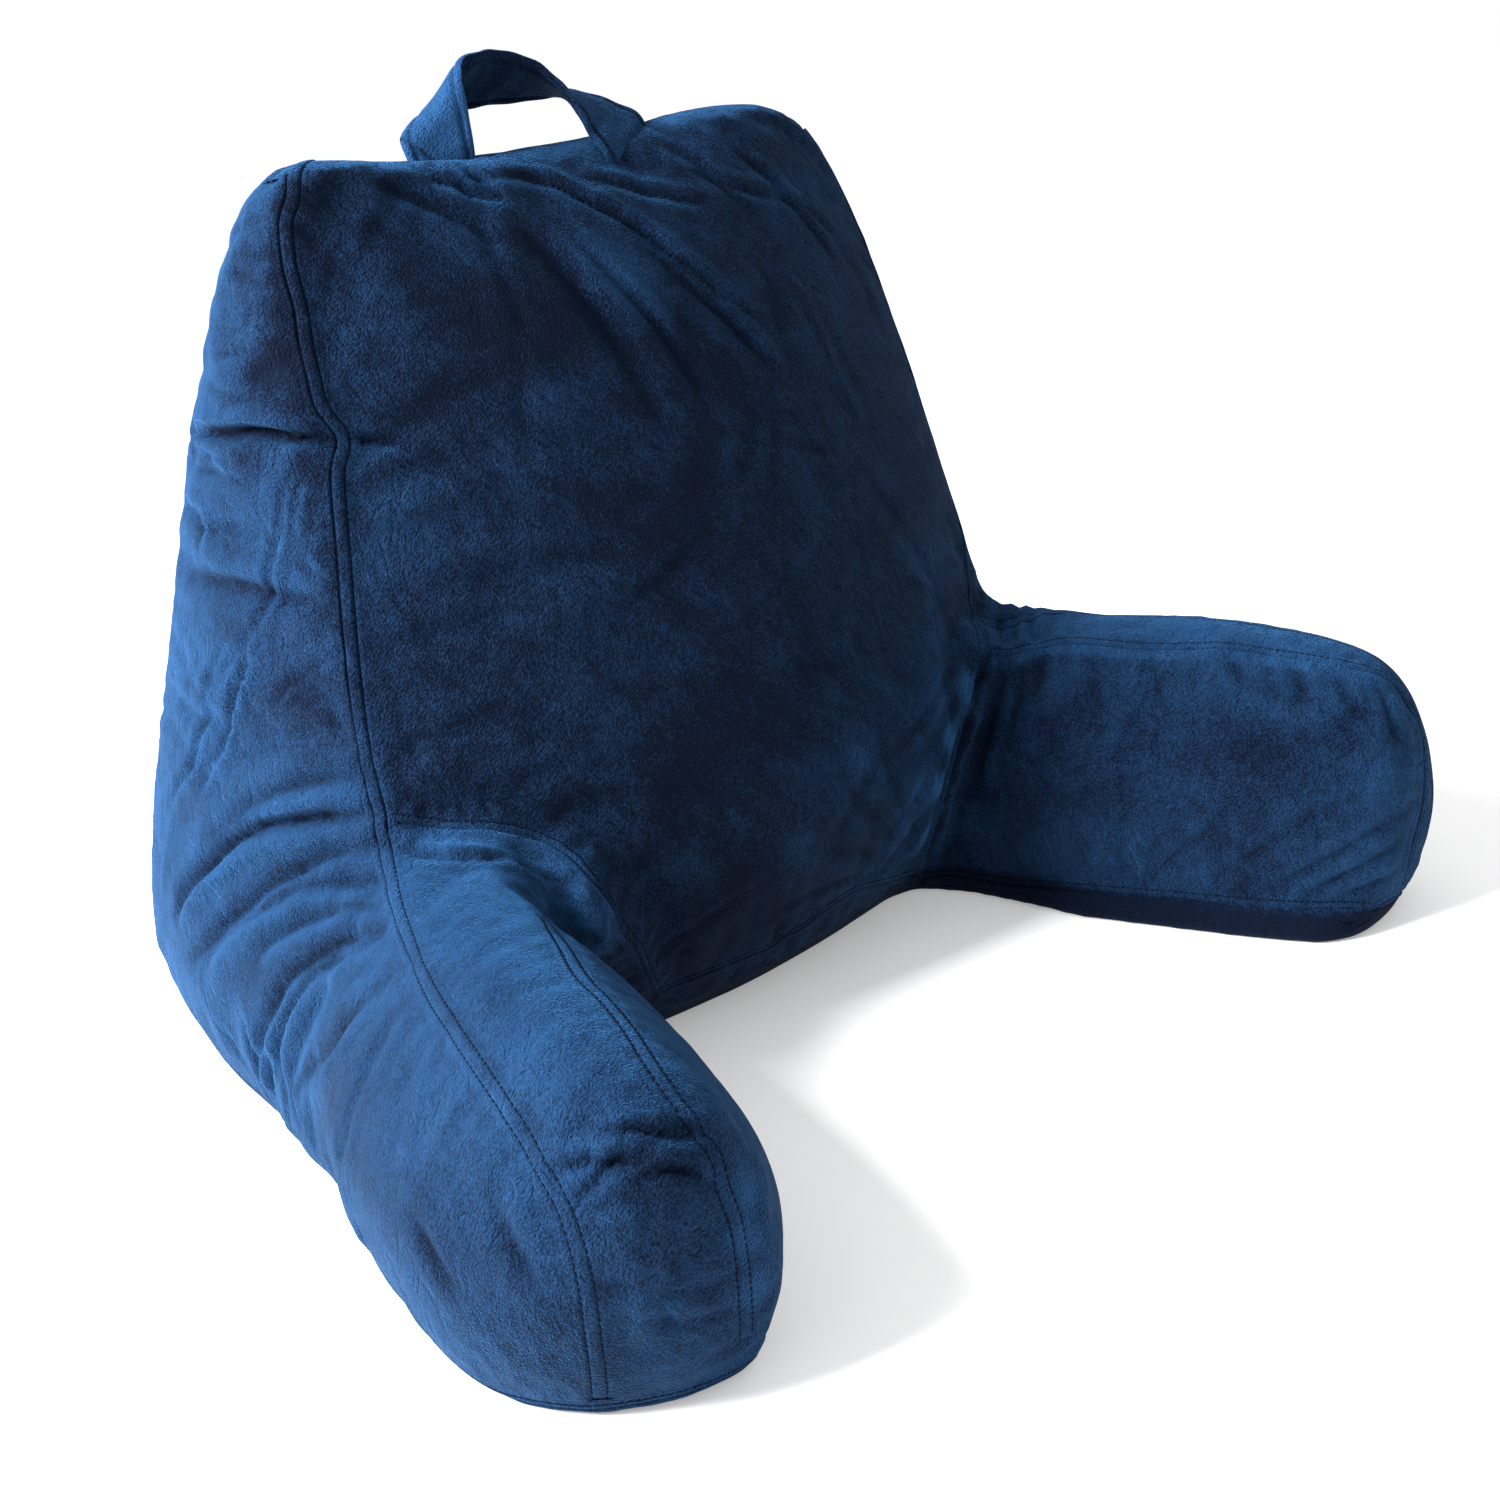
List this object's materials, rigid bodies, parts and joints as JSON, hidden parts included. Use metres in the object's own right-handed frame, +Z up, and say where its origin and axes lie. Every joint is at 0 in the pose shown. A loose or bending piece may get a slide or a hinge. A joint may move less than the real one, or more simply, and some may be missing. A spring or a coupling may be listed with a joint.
{
  "type": "reading pillow",
  "caption": "Stuffed velour backrest with a wedge-shaped back, two forward arm rests and a ribbon carrying handle on its top edge.",
  "frame": {"origin": "middle of the pillow's outline seen from above, on the surface it stands on", "axes": "+Z up, -Y the way the front panel faces and the arms point, +X towards the arm on the right when the front is seen"},
  "size_m": [0.7124, 0.5713, 0.5386],
  "materials": {
    "velour_back": "short crushed pile, navy",
    "velour_arms": "short crushed pile, navy",
    "velour_strap": "short crushed pile, navy, sewn double"
  },
  "bodies": {
    "root": {"back_cushion": "velour_back", "arm_left": "velour_arms", "arm_right": "velour_arms", "handle_strap": "velour_strap"}
  },
  "joints": []
}
